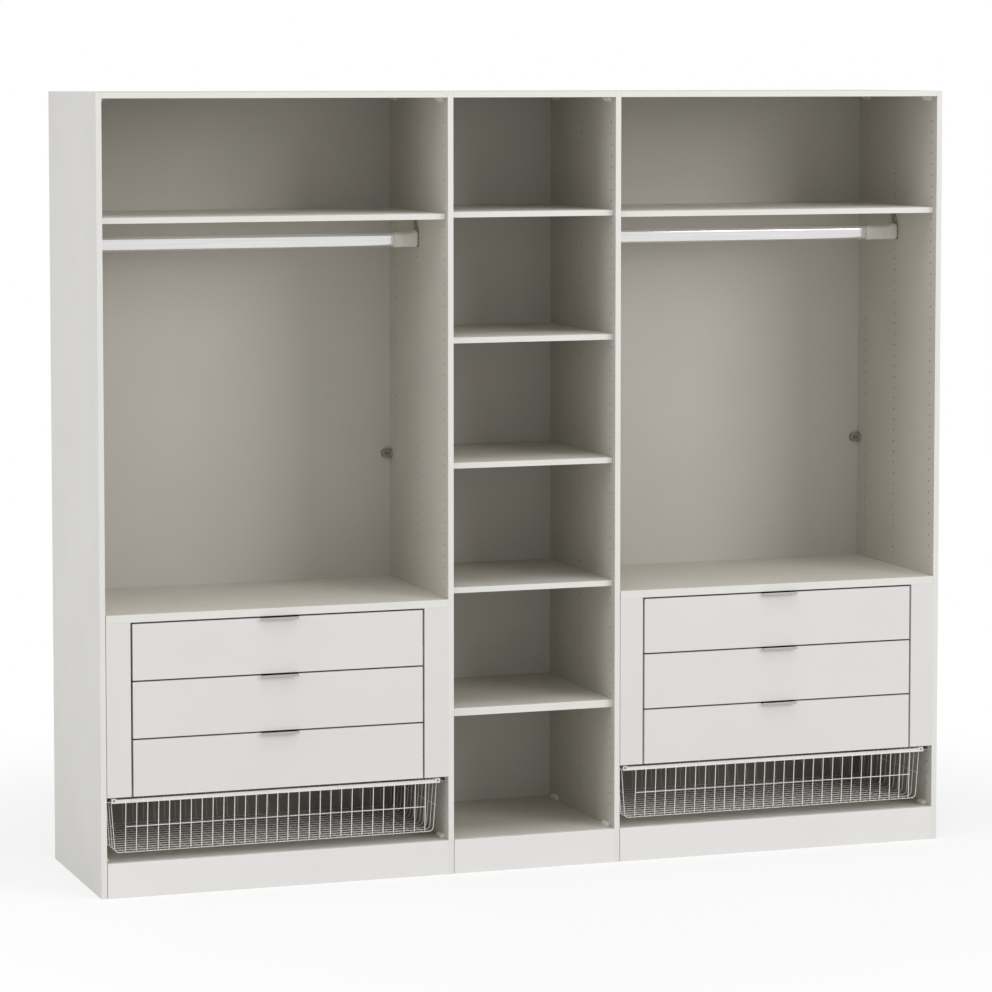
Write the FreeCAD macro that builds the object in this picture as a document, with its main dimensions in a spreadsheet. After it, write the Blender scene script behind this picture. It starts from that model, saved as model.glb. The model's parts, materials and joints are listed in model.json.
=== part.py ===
import FreeCAD, Part
import math
import os
import re
import Sketcher

# Open-front wardrobe with two hanging bays and a shelf bay between them.
# Positions are measured from the left outer face (x), the front edge of the boards (y, going back)
# and the floor (z). The origin is then put under the middle of the whole object.

# Driving dimensions, in millimetres and degrees
dimensions = {
    "board_thick": 16,
    "thick_board": 22,
    "wide_clear": 984,
    "narrow_clear": 484,
    "total_height": 2200,
    "total_depth": 576,
    "plinth_height": 96,
    "fit_gap": 1.5,
    "back_thick": 3,
    "back_setback": 536,
    "shelf_setback": 20,
    "shelf_gap": 1,
    "shelf_back_gap": 2,
    "hat_shelf_height": 1845,
    "fixed_shelf_height": 444.5,
    "hole_diameter": 5,
    "hole_depth": 10,
    "hole_pitch": 32,
    "hole_rows": 62,
    "first_hole": 161.6,
    "front_column": 35,
    "middle_column": 279,
    "rear_column": 481,
    "shelf_row_step": 11,
    "lowest_shelf_row": 20,
    "pin_diameter": 4.8,
    "pin_length": 18,
    "pin_depth": 8,
    "pin_bore": 11,
    "rail_height": 1779,
    "rail_setback": 270,
    "rail_radius": 9.5,
    "rail_straight": 21,
    "rail_wall": 1.5,
    "rail_end_gap": 1,
    "sleeve_wall": 1.2,
    "sleeve_play": 0.15,
    "left_sleeve": 60,
    "short_sleeve": 74,
    "long_sleeve": 102,
    "flange_thick": 2.5,
    "flange_reach": 10,
    "flange_below": 22,
    "flange_above": 26,
    "arm_front": 13,
    "arm_back": 35,
    "clamp_radius": 14,
    "clamp_inset": 15,
    "clamp_thick": 8,
    "clamp_height": 1142,
    "connector_size": 12,
    "connector_nose": 5,
    "connector_length": 46,
    "connector_setback": 32,
    "chest_bottom": 278,
    "chest_side_depth": 484,
    "filler_width": 70,
    "front_height": 155.5,
    "front_gap": 4.5,
    "side_gap": 6,
    "box_wall": 12,
    "box_height": 110,
    "box_length": 450,
    "box_rise": 20,
    "box_floor": 5,
    "floor_rise": 8,
    "runner_space": 13,
    "profile_thick": 1.2,
    "runner_length": 440,
    "fixed_rise": 24,
    "fixed_web": 30,
    "fixed_flange": 8,
    "moving_web": 20,
    "pull_width": 106,
    "pull_thick": 1.5,
    "pull_reach": 14,
    "pull_lip": 5.5,
    "pull_leg": 20,
    "rim_margin": 18,
    "rim_thick": 2,
    "rim_height": 10.5,
    "rim_bottom": 258,
    "rim_bar": 5,
    "rim_tab": 14,
    "rim_hole": 5.5,
    "basket_setback": 20,
    "basket_depth": 440,
    "wire_diameter": 2.6,
    "wire_sink": 0.8,
    "wire_pitch": 30.9,
    "wire_count": 29,
    "side_pitch": 30.4,
    "side_count": 14,
    "wire_top": 266.5,
    "crossbar_height": 191,
    "basket_floor": 117,
    "basket_lean": 4.2,
    "runner_play": 0.3,
    "basket_web": 15,
    "basket_flange": 19.5,
    "basket_runner_thick": 1.5,
}

drawers_per_chest = 3
adjustable_shelves = 4

doc = FreeCAD.newDocument("Wardrobe")
sheet = doc.addObject("Spreadsheet::Sheet", "Dimensions")
for row, (alias, number) in enumerate(dimensions.items(), start=1):
    sheet.set(f"A{row}", alias)
    sheet.set(f"B{row}", str(number))
    sheet.setAlias(f"B{row}", alias)
doc.recompute()

alias_words = re.compile(r"\b(" + "|".join(dimensions) + r")\b")
origin = (
    "-(2 * wide_clear + narrow_clear + 4 * board_thick) / 2",
    "-(total_depth - pull_reach) / 2",
    "0",
)
turns = {
    "x": FreeCAD.Rotation(FreeCAD.Vector(0, 1, 0), 90),
    "y": FreeCAD.Rotation(FreeCAD.Vector(1, 0, 0), -90),
    "z": FreeCAD.Rotation(),
}
nodes = {}


def size(alias):
    return float(sheet.get(alias))


def bind(item, prop, formula):
    item.setExpression(prop, alias_words.sub(r"Dimensions.\g<0>", formula))


def place(item, corner, zero=origin):
    for letter, start, offset in zip("xyz", zero, corner):
        bind(item, f"Placement.Base.{letter}", f"{start} + ({offset})")


def keep(item, name):
    item.Label = name
    nodes[name] = item
    return item


def box(name, corner, lengths):
    item = doc.addObject("Part::Box", name)
    for prop, formula in zip(("Length", "Width", "Height"), lengths):
        bind(item, prop, formula)
    place(item, corner)
    return item


def cylinder(name, axis, corner, radius, length, zero=origin):
    item = doc.addObject("Part::Cylinder", name)
    bind(item, "Radius", radius)
    bind(item, "Height", length)
    item.Placement = FreeCAD.Placement(FreeCAD.Vector(), turns[axis])
    place(item, corner, zero)
    return item


def group(name, items):
    item = doc.addObject("Part::Compound", name)
    item.Links = items
    return keep(item, name)


def fuse(name, items):
    item = doc.addObject("Part::MultiFuse", name)
    item.Shapes = items
    return item


# Sketches and the bodies made from them


def sketch_on(body, name, role):
    plane = next(feature for feature in body.Origin.OriginFeatures if feature.Role == role)
    sketch = body.newObject("Sketcher::SketchObject", name)
    sketch.AttachmentSupport = [(plane, "")]
    sketch.MapMode = "FlatFace"
    return sketch


def pin_point(sketch, geometry, point, across, up):
    for kind, axis, formula in (("DistanceX", -2, across), ("DistanceY", -1, up)):
        if formula == "0":
            sketch.addConstraint(Sketcher.Constraint("PointOnObject", geometry, point, axis))
        else:
            index = sketch.addConstraint(Sketcher.Constraint(kind, -1, 1, geometry, point, 1.0))
            bind(sketch, f"Constraints[{index}]", formula)


def polygon(sketch, points):
    count = len(points)
    for index in range(count):
        after = (index + 1) % count
        start = FreeCAD.Vector(index, index % 2, 0)
        end = FreeCAD.Vector(after, after % 2, 0)
        sketch.addGeometry(Part.LineSegment(start, end), False)
    for index, (across, up) in enumerate(points):
        sketch.addConstraint(Sketcher.Constraint("Coincident", index, 2, (index + 1) % count, 1))
        pin_point(sketch, index, 1, across, up)


def circle(sketch, across, up, diameter):
    centre = FreeCAD.Vector(1, 1, 0)
    index = sketch.addGeometry(Part.Circle(centre, FreeCAD.Vector(0, 0, 1), 1), False)
    pin_point(sketch, index, 3, across, up)
    rule = sketch.addConstraint(Sketcher.Constraint("Diameter", index, 1.0))
    bind(sketch, f"Constraints[{rule}]", diameter)


def oval(sketch, radius, straight):
    guess = size("rail_radius")
    half = size("rail_straight") / 2
    normal = FreeCAD.Vector(0, 0, 1)
    upper = Part.Circle(FreeCAD.Vector(0, half, 0), normal, guess)
    lower = Part.Circle(FreeCAD.Vector(0, -half, 0), normal, guess)
    left = (FreeCAD.Vector(-guess, half, 0), FreeCAD.Vector(-guess, -half, 0))
    right = (FreeCAD.Vector(guess, -half, 0), FreeCAD.Vector(guess, half, 0))
    loop = [
        Part.ArcOfCircle(upper, 0, math.pi),
        Part.LineSegment(*left),
        Part.ArcOfCircle(lower, math.pi, 2 * math.pi),
        Part.LineSegment(*right),
    ]
    edges = [sketch.addGeometry(edge, False) for edge in loop]
    for edge, after in zip(edges, edges[1:] + edges[:1]):
        sketch.addConstraint(Sketcher.Constraint("Tangent", edge, 2, after, 1))
    sketch.addConstraint(Sketcher.Constraint("Vertical", edges[1]))
    sketch.addConstraint(Sketcher.Constraint("Vertical", edges[3]))
    sketch.addConstraint(Sketcher.Constraint("Symmetric", edges[0], 3, edges[2], 3, -1, 1))
    rule = sketch.addConstraint(Sketcher.Constraint("Radius", edges[0], guess))
    bind(sketch, f"Constraints[{rule}]", radius)
    rule = sketch.addConstraint(Sketcher.Constraint("DistanceY", edges[2], 3, edges[0], 3, 2 * half))
    bind(sketch, f"Constraints[{rule}]", straight)


def pad(body, name, sketch, length, backwards=False):
    feature = body.newObject("PartDesign::Pad", name)
    feature.Profile = sketch
    feature.Reversed = backwards
    bind(feature, "Length", length)
    return feature


def extrusion(name, role, points, length, corner, backwards=False):
    body = doc.addObject("PartDesign::Body", name)
    sketch = sketch_on(body, f"{name}_outline", role)
    polygon(sketch, points)
    pad(body, f"{name}_pad", sketch, length, backwards)
    place(body, corner)
    return body


# Upright boards with rows of shelf holes


def drilled_board(name, x, holes_from, hole_length, backwards):
    body = doc.addObject("PartDesign::Body", name)
    outline = sketch_on(body, f"{name}_outline", "YZ_Plane")
    polygon(outline, [("0", "0"), ("total_depth", "0"), ("total_depth", "total_height"), ("0", "total_height")])
    pad(body, f"{name}_pad", outline, "board_thick")
    rows = sketch_on(body, f"{name}_holes", "YZ_Plane")
    bind(rows, "AttachmentOffset.Base.z", holes_from)
    for column in ("front_column", "middle_column", "rear_column"):
        circle(rows, column, "first_hole", "hole_diameter")
    pocket = body.newObject("PartDesign::Pocket", f"{name}_first_row")
    pocket.Profile = rows
    pocket.Reversed = backwards
    bind(pocket, "Length", hole_length)
    pattern = body.newObject("PartDesign::LinearPattern", f"{name}_rows")
    pattern.Originals = [pocket]
    pattern.Direction = (rows, ["V_Axis"])
    pattern.Mode = "Spacing"
    bind(pattern, "Offset", "hole_pitch")
    bind(pattern, "Occurrences", "hole_rows")
    body.Tip = pattern
    place(body, (x, "0", "0"))
    return keep(body, name)


second_bay = "wide_clear + board_thick"
third_bay = "wide_clear + narrow_clear + 2 * board_thick"
last_board = "2 * wide_clear + narrow_clear + 3 * board_thick"

drilled_board("left_side_panel", "0", "board_thick", "hole_depth", False)
drilled_board("left_partition", second_bay, "0", "board_thick", True)
drilled_board("right_partition", third_bay, "0", "board_thick", True)
drilled_board("right_side_panel", last_board, "0", "hole_depth", True)

# Top, bottom, plinth and back of each bay

bays = {
    "left": ("0", "wide_clear"),
    "centre": (second_bay, "narrow_clear"),
    "right": (third_bay, "wide_clear"),
}
connector_blocks = []


def corner_connectors(bay, start, clear):
    depth = "connector_length"
    wide = "connector_size"
    nose = "connector_nose"
    right_outline = [("0", "0"), (f"-{wide}", "0"), (f"-{wide}", nose), (f"-{nose}", wide), ("0", wide)]
    left_outline = [("0", "0"), (wide, "0"), (wide, nose), (nose, wide), ("0", wide)]
    flip = {"bottom": "", "top": "-"}
    for level, z in (("bottom", "plinth_height"), ("top", "total_height - board_thick")):
        for side, outline in (("left", left_outline), ("right", right_outline)):
            x = f"{start} + board_thick" if side == "left" else f"{start} + board_thick + {clear}"
            points = [(across, up if up == "0" else flip[level] + up) for across, up in outline]
            for end, y in (("front", "connector_setback"), ("rear", f"back_setback - connector_setback - {depth}")):
                name = f"connector_{bay}_{level}_{side}_{end}"
                connector_blocks.append(extrusion(name, "XZ_Plane", points, depth, (x, y, z), True))


for bay, (start, clear) in bays.items():
    inside = f"{start} + board_thick"
    behind_plinth = "total_depth - board_thick"
    top_height = "total_height - board_thick"
    bottom_height = "plinth_height - board_thick"
    keep(box(f"{bay}_top", (inside, "0", top_height), (clear, "total_depth", "board_thick")), f"{bay}_top_panel")
    keep(
        box(f"{bay}_bottom", (inside, "board_thick", bottom_height), (clear, behind_plinth, "board_thick")),
        f"{bay}_bottom_panel",
    )
    keep(
        box(
            f"{bay}_plinth_board",
            (f"{inside} + fit_gap", "0", "0"),
            (f"{clear} - fit_gap", "board_thick", "plinth_height"),
        ),
        f"{bay}_plinth",
    )
    keep(
        box(
            f"{bay}_back",
            (inside, "back_setback", "plinth_height"),
            (clear, "back_thick", "total_height - board_thick - plinth_height"),
        ),
        f"{bay}_back_panel",
    )
    corner_connectors(bay, start, clear)
group("corner_connectors", connector_blocks)

# Shelves of the narrow bay, the adjustable ones on pins in the hole rows

shelf_start = f"{second_bay} + board_thick"
shelf_end = f"{shelf_start} + narrow_clear"
shelf_depth = "back_setback - shelf_back_gap - shelf_setback"
pins = []

for shelf in range(adjustable_shelves):
    middle = f"first_hole + hole_pitch * (lowest_shelf_row + shelf_row_step * {shelf})"
    name = f"centre_shelf_{shelf + 1}"
    plank = box(
        f"{name}_board",
        (f"{shelf_start} + shelf_gap", "shelf_setback", f"{middle} - board_thick / 2"),
        ("narrow_clear - 2 * shelf_gap", shelf_depth, "board_thick"),
    )
    bores = []
    for column in ("front_column", "rear_column"):
        ends = (
            ("left", f"{shelf_start} - pin_depth", f"{shelf_start} + shelf_gap"),
            ("right", f"{shelf_end} + pin_depth - pin_length", f"{shelf_end} - shelf_gap - pin_bore"),
        )
        for end, pin_x, bore_x in ends:
            mark = f"{name}_{column}_{end}"
            pins.append(cylinder(f"{mark}_pin", "x", (pin_x, column, middle), "pin_diameter / 2", "pin_length"))
            bores.append(cylinder(f"{mark}_bore", "x", (bore_x, column, middle), "hole_diameter / 2", "pin_bore"))
    tool = doc.addObject("Part::Compound", f"{name}_bores")
    tool.Links = bores
    drilled = doc.addObject("Part::Cut", f"{name}_drilled")
    drilled.Base = plank
    drilled.Tool = tool
    keep(drilled, name)
group("shelf_pins", pins)

keep(
    box(
        "fixed_shelf_board",
        (shelf_start, "shelf_setback", "fixed_shelf_height"),
        ("narrow_clear", "back_setback - shelf_setback", "thick_board"),
    ),
    "centre_fixed_shelf",
)

# Hanging rails and their brackets


def rail_bracket(name, x, sleeve, backwards):
    body = doc.addObject("PartDesign::Body", name)
    plate = sketch_on(body, f"{name}_plate", "YZ_Plane")
    reach = "flange_reach"
    shelf = "hat_shelf_height - rail_height"
    outline = [
        (f"-{reach}", "-flange_below"),
        (reach, "-flange_below"),
        ("arm_back", shelf),
        ("arm_front", shelf),
        (f"-{reach}", "flange_above"),
    ]
    polygon(plate, outline)
    pad(body, f"{name}_plate_pad", plate, "flange_thick", backwards)
    ring = sketch_on(body, f"{name}_ring", "YZ_Plane")
    toward = "-" if backwards else ""
    bind(ring, "AttachmentOffset.Base.z", f"{toward}flange_thick")
    oval(ring, "rail_radius + sleeve_play + sleeve_wall", "rail_straight")
    oval(ring, "rail_radius + sleeve_play", "rail_straight")
    pad(body, f"{name}_ring_pad", ring, f"{sleeve} - flange_thick", backwards)
    place(body, (x, "rail_setback", "rail_height"))
    return body


def hanging_rail(side, start, right_sleeve):
    inside = f"{start} + board_thick"
    far = f"{inside} + wide_clear"
    body = doc.addObject("PartDesign::Body", f"{side}_rail_tube")
    section = sketch_on(body, f"{side}_rail_section", "YZ_Plane")
    oval(section, "rail_radius", "rail_straight")
    oval(section, "rail_radius - rail_wall", "rail_straight")
    length = "wide_clear - 2 * (flange_thick + rail_end_gap)"
    pad(body, f"{side}_rail_pad", section, length)
    place(body, (f"{inside} + flange_thick + rail_end_gap", "rail_setback", "rail_height"))
    keep(body, f"{side}_hanging_rail")
    brackets = [
        rail_bracket(f"{side}_bracket_left", inside, "left_sleeve", False),
        rail_bracket(f"{side}_bracket_right", far, right_sleeve, True),
    ]
    group(f"{side}_rail_brackets", brackets)


# Round two-way clamps in the rear corners of the wide bays


def back_clamp(name, x, inward):
    thick = "clamp_thick"
    radius = "clamp_radius"
    on_back = cylinder(
        f"{name}_on_back",
        "y",
        (f"{x} {inward} clamp_inset", f"back_setback - {thick}", "clamp_height"),
        radius,
        thick,
    )
    side_x = x if inward == "+" else f"{x} - {thick}"
    on_side = cylinder(f"{name}_on_side", "x", (side_x, "back_setback - clamp_inset", "clamp_height"), radius, thick)
    return fuse(name, [on_back, on_side])


# Drawer chest: top board, fillers, inner sides and rear battens


def chest(side, start):
    inside = f"{start} + board_thick"
    far = f"{inside} + wide_clear"
    drawers = f"{drawers_per_chest} * (front_height + front_gap)"
    keep(
        box(
            f"{side}_chest_board",
            (f"{inside} + fit_gap", "0", f"chest_bottom + {drawers}"),
            ("wide_clear - fit_gap", "back_setback", "thick_board"),
        ),
        f"{side}_chest_top",
    )
    left_filler = ((f"{inside} + fit_gap", "0", "chest_bottom"), ("filler_width - fit_gap", "board_thick", drawers))
    right_filler = ((f"{far} - filler_width", "0", "chest_bottom"), ("filler_width", "board_thick", drawers))
    fillers = [
        box(f"{side}_left_filler", *left_filler),
        box(f"{side}_right_filler", *right_filler),
    ]
    group(f"{side}_chest_fillers", fillers)
    side_board = ("board_thick", "chest_side_depth", drawers)
    batten = ("filler_width - board_thick", "board_thick", drawers)
    batten_y = "chest_side_depth"
    left_x = f"{inside} + filler_width - board_thick"
    right_x = f"{far} - filler_width"
    sides = [
        box(f"{side}_chest_left_side", (left_x, "board_thick", "chest_bottom"), side_board),
        box(f"{side}_chest_right_side", (right_x, "board_thick", "chest_bottom"), side_board),
        box(f"{side}_chest_left_batten", (inside, batten_y, "chest_bottom"), batten),
        box(f"{side}_chest_right_batten", (f"{right_x} + board_thick", batten_y, "chest_bottom"), batten),
    ]
    group(f"{side}_chest_sides", sides)


# Drawers: front, box with its runner profiles, and the folded edge pull


def angle_profile(name, web, flange, mirrored, corner):
    sign = "-" if mirrored else ""
    thick = "profile_thick"
    outline = [
        ("0", "0"),
        (f"{sign}{flange}", "0"),
        (f"{sign}{flange}", thick),
        (f"{sign}{thick}", thick),
        (f"{sign}{thick}", web),
        ("0", web),
    ]
    return extrusion(name, "XZ_Plane", outline, "runner_length", corner, True)


def edge_pull(name, x, z):
    thick = "pull_thick"
    nose = "pull_reach"
    back = "pull_reach + board_thick"
    low = "pull_leg - pull_lip"
    outline = [
        ("0", low),
        (thick, low),
        (thick, "pull_leg"),
        (back, "pull_leg"),
        (back, "0"),
        (f"{back} + {thick}", "0"),
        (f"{back} + {thick}", f"pull_leg + {thick}"),
        ("0", f"pull_leg + {thick}"),
    ]
    return extrusion(name, "YZ_Plane", outline, "pull_width", (x, f"-{nose}", f"{z} - pull_leg"))


def drawer(side, number, start, fixed_profiles):
    name = f"{side}_drawer_{number}"
    low = f"chest_bottom + (front_height + front_gap) * {drawers_per_chest - number}"
    opening = f"{start} + board_thick + filler_width"
    open_width = "wide_clear - 2 * filler_width"
    front_x = f"{opening} + side_gap"
    front_width = f"{open_width} - 2 * side_gap"
    keep(
        box(f"{name}_panel", (front_x, "0", low), (front_width, "board_thick", "front_height")),
        f"{name}_front",
    )
    box_x = f"{opening} + runner_space"
    box_end = f"{opening} + {open_width} - runner_space"
    inner_width = f"{open_width} - 2 * runner_space - 2 * box_wall"
    box_z = f"{low} + box_rise"
    wall = ("box_wall", "box_length", "box_height")
    inner_x = f"{box_x} + box_wall"
    back_y = "board_thick + box_length - box_wall"
    pieces = [
        box(f"{name}_left_wall", (box_x, "board_thick", box_z), wall),
        box(f"{name}_right_wall", (f"{box_end} - box_wall", "board_thick", box_z), wall),
        box(f"{name}_back_wall", (inner_x, back_y, box_z), (inner_width, "box_wall", "box_height")),
        box(
            f"{name}_floor",
            (inner_x, "board_thick", f"{box_z} + floor_rise"),
            (inner_width, "box_length - box_wall", "box_floor"),
        ),
    ]
    thick = "profile_thick"
    moving_flange = f"{thick} + box_wall"
    profile_y = "board_thick"
    for end, x, mirrored in (("left", f"{box_x} - {thick}", False), ("right", f"{box_end} + {thick}", True)):
        corner = (x, profile_y, f"{box_z} - {thick}")
        pieces.append(angle_profile(f"{name}_{end}_profile", "moving_web", moving_flange, mirrored, corner))
    group(f"{name}_box", pieces)
    for end, x, mirrored in (("left", opening, False), ("right", f"{opening} + {open_width}", True)):
        corner = (x, profile_y, f"{low} + fixed_rise")
        fixed_profiles.append(angle_profile(f"{name}_{end}_rail", "fixed_web", "fixed_flange", mirrored, corner))
    pull_x = f"{front_x} + ({front_width} - pull_width) / 2"
    keep(edge_pull(f"{name}_handle", pull_x, f"{low} + front_height"), f"{name}_pull")


# Pull-out wire basket: rim of a front strip and flat bars, and five welded wire grids


def hanging_grid(name, along, count, pitch, drop, outward, lean, top):
    zero = ("0", "0", "0")
    radius = "wire_diameter / 2"
    step = {"x": 0, "y": 1}[along]
    wires = []
    for wire in range(count):
        corner = ["0", "0", f"-({drop})"]
        corner[step] = f"{pitch} * {wire}"
        wires.append(cylinder(f"{name}_wire_{wire + 1}", "z", corner, radius, drop, zero))
    bar = ["0", "0", "crossbar_height - wire_top"]
    bar[1 - step] = f"{outward}(wire_diameter - wire_sink)"
    bar[step] = f"-{pitch} / 4"
    bar_length = f"{pitch} * ({count} - 0.5)"
    wires.append(cylinder(f"{name}_crossbar", along, bar, radius, bar_length, zero))
    welded = fuse(name, wires)
    turn_axis = FreeCAD.Vector(1 - step, step, 0)
    welded.Placement = FreeCAD.Placement(FreeCAD.Vector(), FreeCAD.Rotation(turn_axis, lean))
    place(welded, top)
    return welded


def basket_floor_grid(name, first_x, first_y, overhang_x, overhang_y):
    radius = "wire_diameter / 2"
    low = "basket_floor - wire_diameter + wire_sink"
    wires = []
    for wire in range(int(size("wire_count"))):
        corner = (f"{first_x} + wire_pitch * {wire}", f"{first_y} - {overhang_y}", low)
        length = f"side_pitch * (side_count - 1) + 2 * ({overhang_y})"
        wires.append(cylinder(f"{name}_deep_{wire + 1}", "y", corner, radius, length))
    for wire in range(int(size("side_count"))):
        corner = (f"{first_x} - ({overhang_x})", f"{first_y} + side_pitch * {wire}", "basket_floor")
        length = f"wire_pitch * (wire_count - 1) + 2 * ({overhang_x})"
        wires.append(cylinder(f"{name}_wide_{wire + 1}", "x", corner, radius, length))
    return fuse(name, wires)


def basket(side, start, runners):
    name = f"{side}_basket"
    inside = f"{start} + board_thick"
    far = f"{inside} + wide_clear"
    rim_x = f"{inside} + rim_margin"
    rim_end = f"{far} - rim_margin"
    rim_back = "basket_setback + basket_depth"
    rim_width = "wide_clear - 2 * rim_margin"
    tab = "rim_tab"
    strip_outline = [
        ("0", "0"),
        (rim_width, "0"),
        (rim_width, tab),
        (f"{rim_width} - {tab}", tab),
        (f"{rim_width} - {tab}", "rim_height"),
        (tab, "rim_height"),
        (tab, tab),
        ("0", tab),
    ]
    strip_corner = (rim_x, "basket_setback", "rim_bottom")
    plain_strip = extrusion(f"{name}_plain_strip", "XZ_Plane", strip_outline, "rim_thick", strip_corner, True)
    holes = []
    for end, hole_x in (("left", f"{rim_x} + {tab} / 2"), ("right", f"{rim_end} - {tab} / 2")):
        hole_corner = (hole_x, "basket_setback", f"rim_bottom + {tab} / 2")
        holes.append(cylinder(f"{name}_{end}_hole", "y", hole_corner, "rim_hole / 2", "rim_thick"))
    hole_pair = doc.addObject("Part::Compound", f"{name}_holes")
    hole_pair.Links = holes
    front_strip = doc.addObject("Part::Cut", f"{name}_front_strip")
    front_strip.Base = plain_strip
    front_strip.Tool = hole_pair
    bar_z = "rim_bottom + rim_height - rim_bar"
    bar_y = "basket_setback + rim_thick"
    rear_y = f"{rim_back} - rim_thick"
    side_bar = ("rim_thick", "basket_depth - 2 * rim_thick", "rim_bar")
    strips = [
        front_strip,
        box(f"{name}_rear_bar", (rim_x, rear_y, bar_z), (rim_width, "rim_thick", "rim_bar")),
        box(f"{name}_left_bar", (rim_x, bar_y, bar_z), side_bar),
        box(f"{name}_right_bar", (f"{rim_end} - rim_thick", bar_y, bar_z), side_bar),
    ]
    group(f"{name}_rim", strips)

    # Hanging wires end on the floor wires that carry on from them
    radius = "wire_diameter / 2"
    first_x = f"{inside} + wide_clear / 2 - wire_pitch * (wire_count - 1) / 2"
    first_y = "basket_setback + basket_depth / 2 - side_pitch * (side_count - 1) / 2"
    lean = size("basket_lean")
    upright = f"cos({lean} deg)"
    slope = f"tan({lean} deg)"
    floor_level = "basket_floor - wire_diameter + wire_sink"
    long_drop = f"(wire_top - ({floor_level}) - {radius}) / {upright}"
    side_drop = f"(wire_top - basket_floor - {radius}) / {upright}"
    front_y = f"{bar_y} + {radius}"
    rear_wire_y = f"{rear_y} - {radius}"
    left_x = f"{rim_x} + rim_thick + {radius}"
    right_x = f"{rim_end} - rim_thick - {radius}"
    long_count = int(size("wire_count"))
    side_count = int(size("side_count"))
    overhang_y = f"({first_y} - ({front_y}) - (wire_top - basket_floor) * {slope})"
    overhang_x = f"({first_x} - ({left_x}) - (wire_top - basket_floor) * {slope})"
    front_top = (first_x, front_y, "wire_top")
    rear_top = (first_x, rear_wire_y, "wire_top")
    left_top = (left_x, first_y, "wire_top")
    right_top = (right_x, first_y, "wire_top")
    grids = [
        hanging_grid(f"{name}_front", "x", long_count, "wire_pitch", long_drop, "-", lean, front_top),
        hanging_grid(f"{name}_rear", "x", long_count, "wire_pitch", long_drop, "", -lean, rear_top),
        hanging_grid(f"{name}_left", "y", side_count, "side_pitch", side_drop, "-", -lean, left_top),
        hanging_grid(f"{name}_right", "y", side_count, "side_pitch", side_drop, "", lean, right_top),
        basket_floor_grid(f"{name}_floor", first_x, first_y, overhang_x, overhang_y),
    ]
    group(f"{name}_wires", grids)

    # Angle runners on the bay's sides carry the rim's side bars
    thick = "basket_runner_thick"
    runner_z = f"{bar_z} - runner_play - {thick}"
    for end, x, sign in (("left", inside, ""), ("right", far, "-")):
        outline = [
            ("0", "0"),
            (f"{sign}basket_flange", "0"),
            (f"{sign}basket_flange", thick),
            (f"{sign}{thick}", thick),
            (f"{sign}{thick}", "basket_web"),
            ("0", "basket_web"),
        ]
        corner = (x, bar_y, runner_z)
        runners.append(extrusion(f"{name}_{end}_runner", "XZ_Plane", outline, "runner_length", corner, True))


# The two wide bays

drawer_rails = []
basket_runners = []
back_clamps = []

for side, start, right_sleeve in (("left", "0", "short_sleeve"), ("right", third_bay, "long_sleeve")):
    inside = f"{start} + board_thick"
    far = f"{inside} + wide_clear"
    keep(
        box(
            f"{side}_hat_board",
            (f"{inside} + shelf_gap", "shelf_setback", "hat_shelf_height"),
            ("wide_clear - 2 * shelf_gap", shelf_depth, "board_thick"),
        ),
        f"{side}_hat_shelf",
    )
    hanging_rail(side, start, right_sleeve)
    back_clamps.append(back_clamp(f"{side}_clamp_left", inside, "+"))
    back_clamps.append(back_clamp(f"{side}_clamp_right", far, "-"))
    chest(side, start)
    for number in range(1, drawers_per_chest + 1):
        drawer(side, number, start, drawer_rails)
    basket(side, start, basket_runners)

group("drawer_rails", drawer_rails)
group("basket_runners", basket_runners)
group("back_panel_clamps", back_clamps)

doc.recompute()

# Checks before anything is written

failed = [item.Label for item in doc.Objects if "Invalid" in item.State or "Error" in item.State]
if failed:
    raise RuntimeError(f"features failed: {failed}")
for name, item in nodes.items():
    if item.Shape.isNull() or not item.Shape.isValid() or not item.Shape.Solids:
        raise RuntimeError(f"{name} has no valid solid")

hole_area = math.pi * size("hole_diameter") ** 2 / 4
board_volume = size("board_thick") * size("total_depth") * size("total_height")
for name, length in (("left_side_panel", "hole_depth"), ("left_partition", "board_thick")):
    drilled = 3 * size("hole_rows") * hole_area * size(length)
    if abs(board_volume - drilled - nodes[name].Shape.Volume) > hole_area:
        raise RuntimeError(f"{name} is not drilled as planned")

os.makedirs("parts", exist_ok=True)
for name, item in nodes.items():
    item.Shape.exportStep(f"parts/{name}.step")
print(f"{len(nodes)} nodes written")
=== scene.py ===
import json
import math

import bmesh
import bpy
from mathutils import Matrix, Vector


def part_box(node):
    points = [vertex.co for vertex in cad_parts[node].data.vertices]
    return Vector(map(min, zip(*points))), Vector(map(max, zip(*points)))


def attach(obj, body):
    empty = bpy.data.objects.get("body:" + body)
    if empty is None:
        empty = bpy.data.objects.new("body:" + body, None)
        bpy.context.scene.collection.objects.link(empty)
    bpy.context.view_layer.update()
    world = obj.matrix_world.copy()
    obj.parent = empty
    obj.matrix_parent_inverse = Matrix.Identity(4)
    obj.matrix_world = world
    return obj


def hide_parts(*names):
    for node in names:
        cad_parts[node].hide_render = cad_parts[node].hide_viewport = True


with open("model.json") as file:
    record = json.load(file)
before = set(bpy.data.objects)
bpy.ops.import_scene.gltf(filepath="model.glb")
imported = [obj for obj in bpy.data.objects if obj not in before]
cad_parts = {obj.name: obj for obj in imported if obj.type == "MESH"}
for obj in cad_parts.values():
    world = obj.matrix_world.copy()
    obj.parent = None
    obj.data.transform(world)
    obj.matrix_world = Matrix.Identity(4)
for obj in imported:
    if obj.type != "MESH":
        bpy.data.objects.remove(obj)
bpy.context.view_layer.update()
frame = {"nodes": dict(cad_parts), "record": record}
nodes = frame["nodes"]
wideBays = ("left", "right")
print("frame loaded:", len(nodes), "nodes")


# shader helpers

noiseBand = {"tone": (0.35, 0.65), "rough": (0.3, 0.7)}  # the middle of a noise, spread over the whole range


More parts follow.
